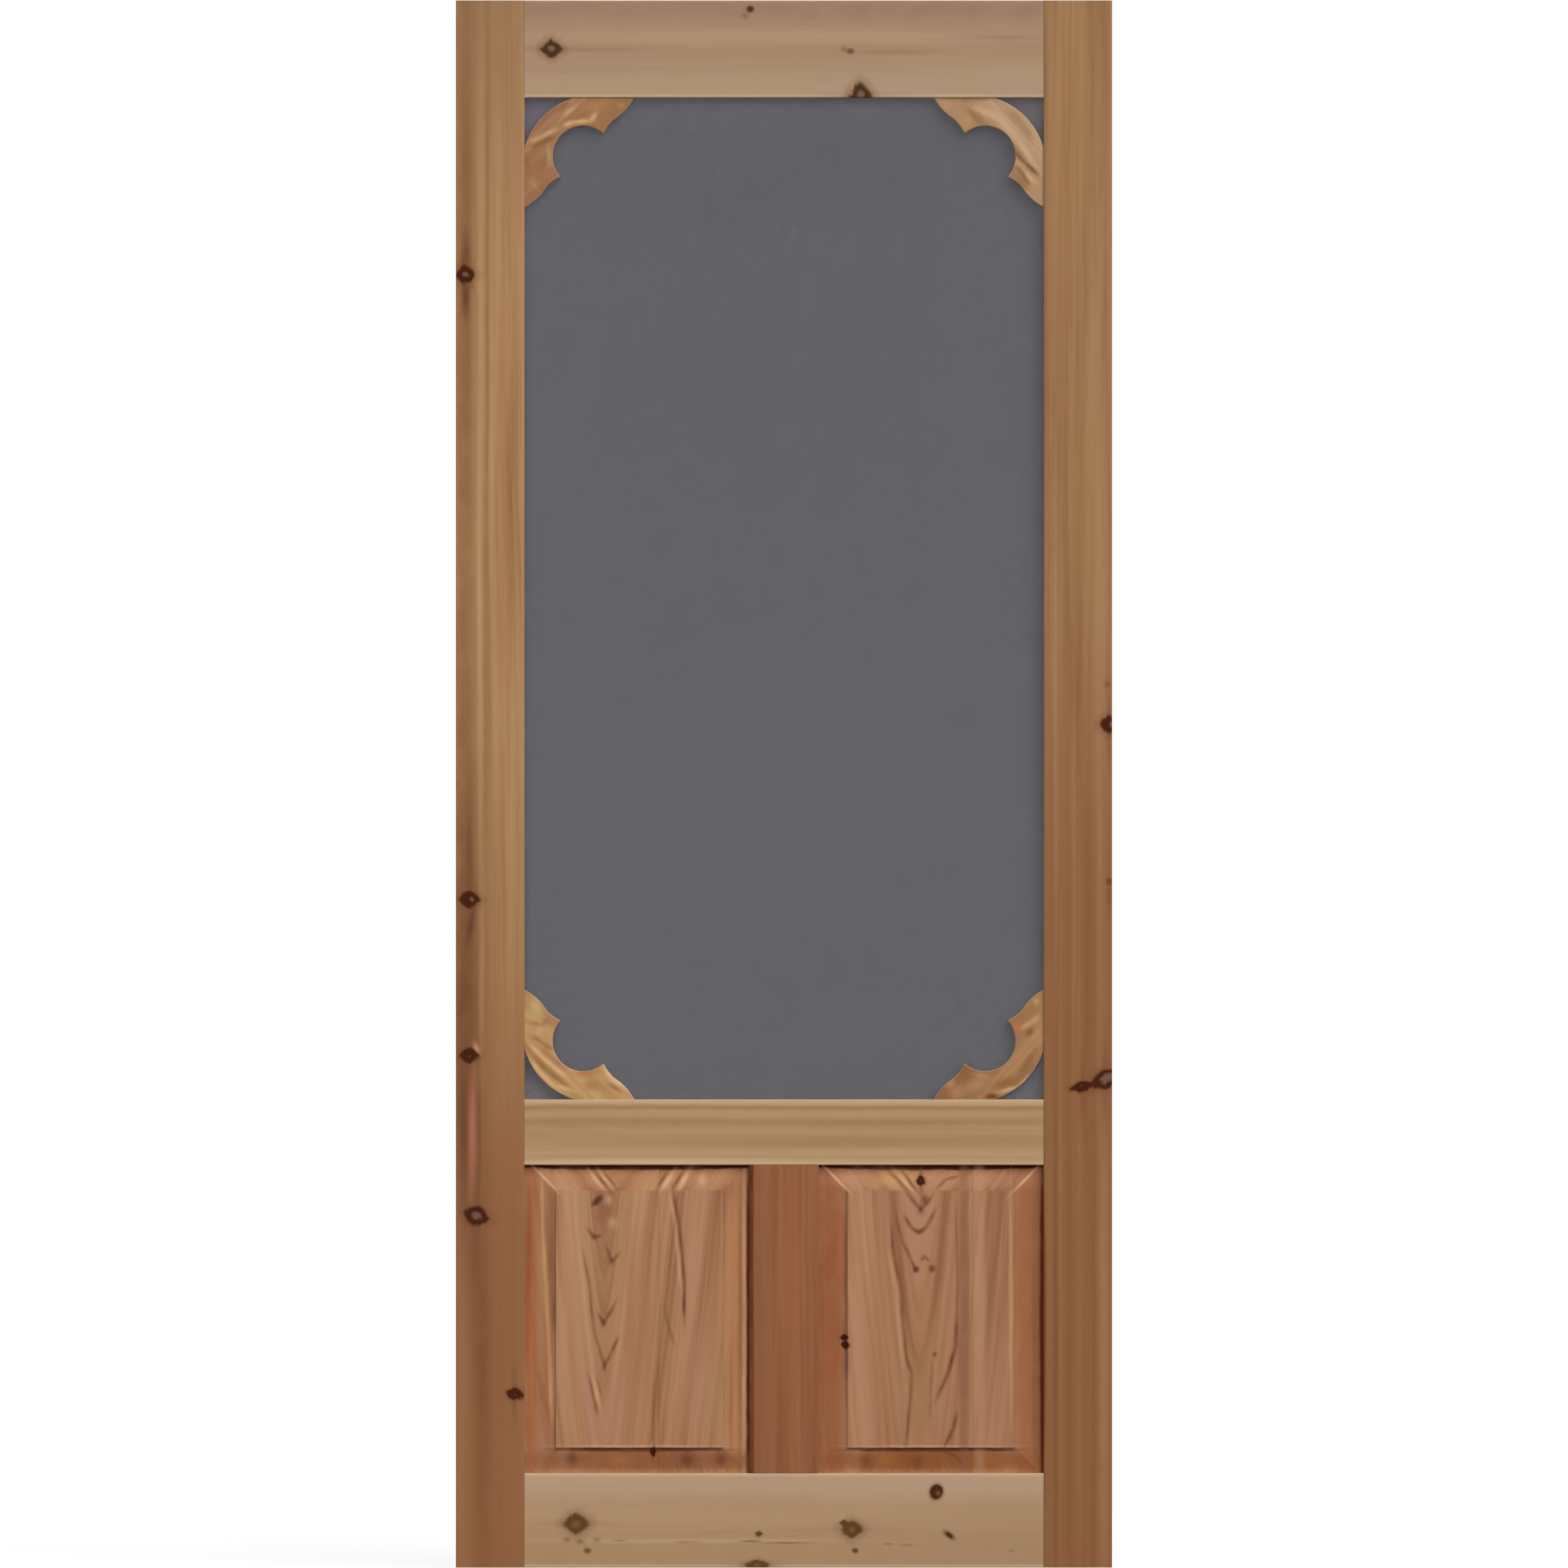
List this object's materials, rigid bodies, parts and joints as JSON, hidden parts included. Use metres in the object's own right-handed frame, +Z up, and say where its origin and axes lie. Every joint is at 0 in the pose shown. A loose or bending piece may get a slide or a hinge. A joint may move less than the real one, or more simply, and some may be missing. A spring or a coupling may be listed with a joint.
{
  "type": "wooden screen door",
  "caption": "Wooden screen door leaf: stile and rail frame, insect screen with scrolled corner brackets above a middle rail, and raised panels either side of a mullion below.",
  "frame": {"origin": "foot of the hinge edge, halfway through the door's thickness", "axes": "+X from the hinge edge to the latch edge, +Y from the front face to the back face, +Z up"},
  "size_m": [0.8509, 0.0286, 2.032],
  "materials": {
    "frame_wood": "oiled, sanded, with knots",
    "panel_wood": "oiled, sanded, edge-glued boards",
    "bracket_wood": "oiled, sanded",
    "stop_wood": "oiled, sanded",
    "screen_mesh": "charcoal grey woven insect screen, matte"
  },
  "bodies": {
    "root": {"hinge_stile": "frame_wood", "latch_stile": "frame_wood", "top_rail": "frame_wood", "middle_rail": "frame_wood", "bottom_rail": "frame_wood", "mullion": "frame_wood", "left_panel": "panel_wood", "right_panel": "panel_wood", "screen_cloth": "screen_mesh", "top_left_bracket": "bracket_wood", "top_right_bracket": "bracket_wood", "bottom_left_bracket": "bracket_wood", "bottom_right_bracket": "bracket_wood", "top_screen_stop": "stop_wood", "bottom_screen_stop": "stop_wood", "left_screen_stop": "stop_wood", "right_screen_stop": "stop_wood"}
  },
  "joints": []
}
